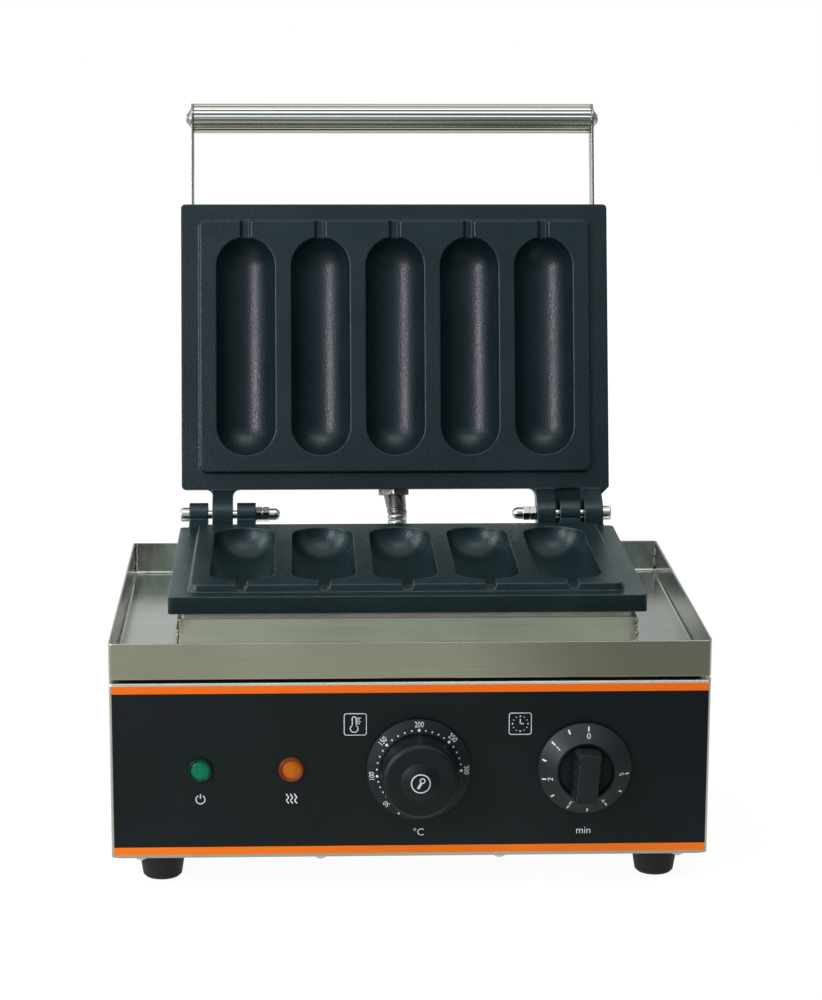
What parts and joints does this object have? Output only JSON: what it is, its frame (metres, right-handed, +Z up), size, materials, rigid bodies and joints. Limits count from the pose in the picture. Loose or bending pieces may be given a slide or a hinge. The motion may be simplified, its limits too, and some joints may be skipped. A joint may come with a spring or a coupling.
{
  "type": "corn dog maker",
  "caption": "Countertop press with hinged cast plates that hold sausage-shaped moulds with stick grooves, over a stainless housing with a crumb tray, a thermostat knob and a timer knob.",
  "frame": {"origin": "middle of the object's box at table height, with the lid open on its stop", "axes": "+Z up, +X to the user's right, the control panel faces -Y"},
  "size_m": [0.312, 0.349, 0.3848],
  "materials": {
    "stainless": "brushed stainless sheet",
    "bright_steel": "polished stainless",
    "cast_coat": "cast aluminium with a dark non-stick coat, satin",
    "panel_film": "printed film, satin black with orange bands",
    "knob_black": "moulded phenolic, satin black",
    "rubber_black": "matte",
    "lens_green": "tinted clear plastic, gloss",
    "lens_orange": "tinted clear plastic, gloss",
    "white_plastic": "moulded, matte",
    "black_plastic": "moulded, matte",
    "heater_steel": "heat-stained tube",
    "zinc_steel": "zinc plated",
    "copper": "drawn copper",
    "insulation": "compressed mineral fibre board",
    "gasket_pale": "pressed mineral fibre",
    "hose_steel": "interlocked strip hose"
  },
  "bodies": {
    "base": {"housing": "stainless", "panel_overlay": "panel_film", "bottom_plate": "zinc_steel", "bottom_screws": "bright_steel", "feet": "rubber_black", "foot_screws": "bright_steel", "tray_spacer": "rubber_black", "tray": "stainless", "riser_box": "stainless", "riser_gasket": "gasket_pale", "lower_plate": "cast_coat", "plate_bolts": "zinc_steel", "lower_heater": "heater_steel", "lower_heater_clamp": "zinc_steel", "lower_clamp_bolts": "zinc_steel", "thermostat_body": "white_plastic", "thermostat_nut": "bright_steel", "thermostat_bulb": "copper", "timer_body": "white_plastic", "timer_nut": "bright_steel", "green_lens": "lens_green", "orange_lens": "lens_orange", "lamp_bodies": "white_plastic", "terminal_block": "white_plastic", "cord_gland": "black_plastic", "hinge_bolt_left": "bright_steel", "hinge_nuts_left": "bright_steel", "conduit_gland_base": "bright_steel", "conduit_hose": "hose_steel"},
    "lid": {"upper_plate": "cast_coat", "upper_heater": "heater_steel", "upper_heater_clamp": "zinc_steel", "upper_clamp_bolts": "zinc_steel", "upper_insulation": "insulation", "upper_cover": "stainless", "cover_screws": "bright_steel", "handle_arms": "stainless", "arm_screws": "bright_steel", "handle_tube": "bright_steel", "handle_plugs": "black_plastic", "handle_bolts": "bright_steel", "hinge_bolt_right": "bright_steel", "hinge_nuts_right": "bright_steel", "conduit_gland_lid": "bright_steel"},
    "thermostat_dial": {"thermostat_knob": "knob_black", "thermostat_shaft": "zinc_steel"},
    "timer_dial": {"timer_knob": "knob_black", "timer_shaft": "zinc_steel"}
  },
  "joints": [
    {"name": "lid_hinge", "type": "hinge", "parent": "base", "child": "lid", "pos_m": [0, 0.07934, 0.1497], "axis": [1, 0, 0], "range_deg": [0, 104.3], "deforming": ["conduit_hose"]},
    {"name": "thermostat_turn", "type": "hinge", "parent": "base", "child": "thermostat_dial", "pos_m": [0.004, -0.14706, 0.0635], "axis": [0, -1, 0], "range_deg": [-158, 90]},
    {"name": "timer_turn", "type": "hinge", "parent": "base", "child": "timer_dial", "pos_m": [0.0904, -0.14706, 0.0635], "axis": [0, -1, 0], "range_deg": [-268, 0]}
  ]
}
